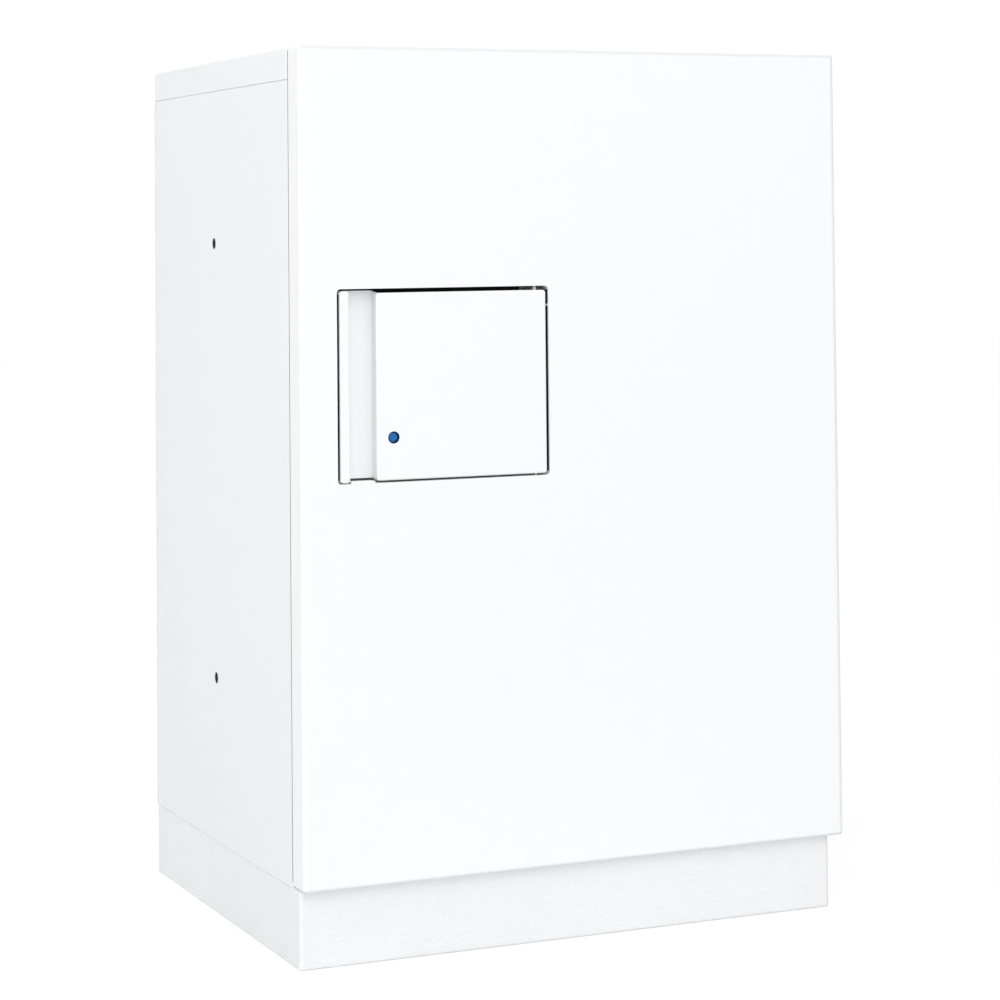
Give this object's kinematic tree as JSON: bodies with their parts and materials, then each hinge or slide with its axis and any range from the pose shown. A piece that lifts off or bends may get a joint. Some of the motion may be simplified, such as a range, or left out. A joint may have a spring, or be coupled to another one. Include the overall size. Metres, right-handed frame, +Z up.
{
  "type": "phone charging kiosk",
  "caption": "White sheet-steel cabinet on a plinth with a full overlay service door; a small door in its front closes a lockable phone charging compartment.",
  "frame": {"origin": "centre of the footprint on the floor", "axes": "+Z up, the front with both doors faces -Y, +X is to the right as seen from the front"},
  "size_m": [0.6, 0.5, 0.9],
  "materials": {
    "cabinet_powder_coat": "white powder coat, fine texture, low sheen",
    "door_powder_coat": "smooth white powder coat, satin",
    "plinth_powder_coat": "white powder coat with a coarser orange-peel texture",
    "inner_powder_coat": "white powder coat on inner sheet",
    "zinc_steel": "zinc plated steel",
    "bright_steel": "bright turned steel",
    "device_aluminium": "natural aluminium case",
    "coil_brass": "wound coil",
    "dark_plastic": "black moulded plastic",
    "grey_plastic": "grey moulded plastic",
    "nylon": "natural nylon",
    "black_rubber": "black rubber",
    "white_cable": "white cable jacket",
    "black_cable": "black cable jacket",
    "circuit_board": "green circuit board",
    "blue_lens": "translucent blue button"
  },
  "bodies": {
    "cabinet": {"back_panel": "cabinet_powder_coat", "base_panel": "inner_powder_coat", "cable_grommet": "black_rubber", "charger_supply_lead": "black_cable", "charging_lead_a": "white_cable", "charging_lead_b": "white_cable", "charging_lead_c": "white_cable", "compartment_tub": "inner_powder_coat", "controller_base": "grey_plastic", "controller_board": "circuit_board", "controller_cover": "grey_plastic", "door_buffer_lower": "black_rubber", "door_buffer_upper": "black_rubber", "equipment_shelf": "inner_powder_coat", "hinge_arm_lower": "zinc_steel", "hinge_arm_upper": "zinc_steel", "hinge_pin_lower": "bright_steel", "hinge_pin_upper": "bright_steel", "left_side_panel": "cabinet_powder_coat", "lower_front_rail": "inner_powder_coat", "mains_inlet": "dark_plastic", "mains_lead": "black_cable", "phone_tray": "dark_plastic", "plinth": "plinth_powder_coat", "plinth_bolt_1": "zinc_steel", "plinth_bolt_2": "zinc_steel", "plinth_bolt_3": "zinc_steel", "plinth_bolt_4": "zinc_steel", "plug_tip_a": "bright_steel", "plug_tip_b": "bright_steel", "plug_tip_c": "bright_steel", "power_supply": "device_aluminium", "right_side_panel": "cabinet_powder_coat", "shelf_bracket_left": "zinc_steel", "shelf_bracket_right": "zinc_steel", "top_cap": "cabinet_powder_coat", "upper_front_rail": "inner_powder_coat", "usb_charger": "dark_plastic"},
    "service_door": {"service_door_skin": "door_powder_coat", "service_door_liner": "inner_powder_coat", "compartment_reveal": "door_powder_coat", "service_door_stiffener": "zinc_steel", "hinge_socket_lower": "zinc_steel", "hinge_socket_upper": "zinc_steel", "lock_case": "zinc_steel", "lock_coil": "coil_brass", "service_latch_block": "zinc_steel", "pivot_bush_lower": "nylon", "pivot_bush_upper": "nylon"},
    "user_door": {"user_door_shell": "door_powder_coat", "user_door_back_plate": "door_powder_coat", "pivot_bar": "zinc_steel", "pivot_pin_lower": "bright_steel", "pivot_pin_upper": "bright_steel", "button_sleeve": "dark_plastic", "button_switch": "dark_plastic"},
    "latch_bolt": {"latch_bolt": "bright_steel"},
    "blue_button": {"blue_button": "blue_lens"},
    "service_latch": {"service_latch_spindle": "bright_steel", "service_latch_hook": "bright_steel"}
  },
  "joints": [
    {"name": "service_door_hinge", "type": "hinge", "parent": "cabinet", "child": "service_door", "pos_m": [0.293, -0.242, 0.45], "axis": [0, 0, 1], "range_deg": [0, 100]},
    {"name": "user_door_hinge", "type": "hinge", "parent": "service_door", "child": "user_door", "pos_m": [-0.048, -0.2435, 0.565], "axis": [0, 0, 1], "range_deg": [0, 100]},
    {"name": "latch_bolt_slide", "type": "slide", "parent": "service_door", "child": "latch_bolt", "axis": [1, 0, 0], "range_m": [0, 0.007]},
    {"name": "button_press", "type": "slide", "parent": "user_door", "child": "blue_button", "axis": [0, 1, 0], "range_m": [0, 0.0012]},
    {"name": "service_latch_turn", "type": "hinge", "parent": "service_door", "child": "service_latch", "pos_m": [-0.27, -0.234, 0.5], "axis": [1, 0, 0], "range_deg": [-90, 0]}
  ]
}
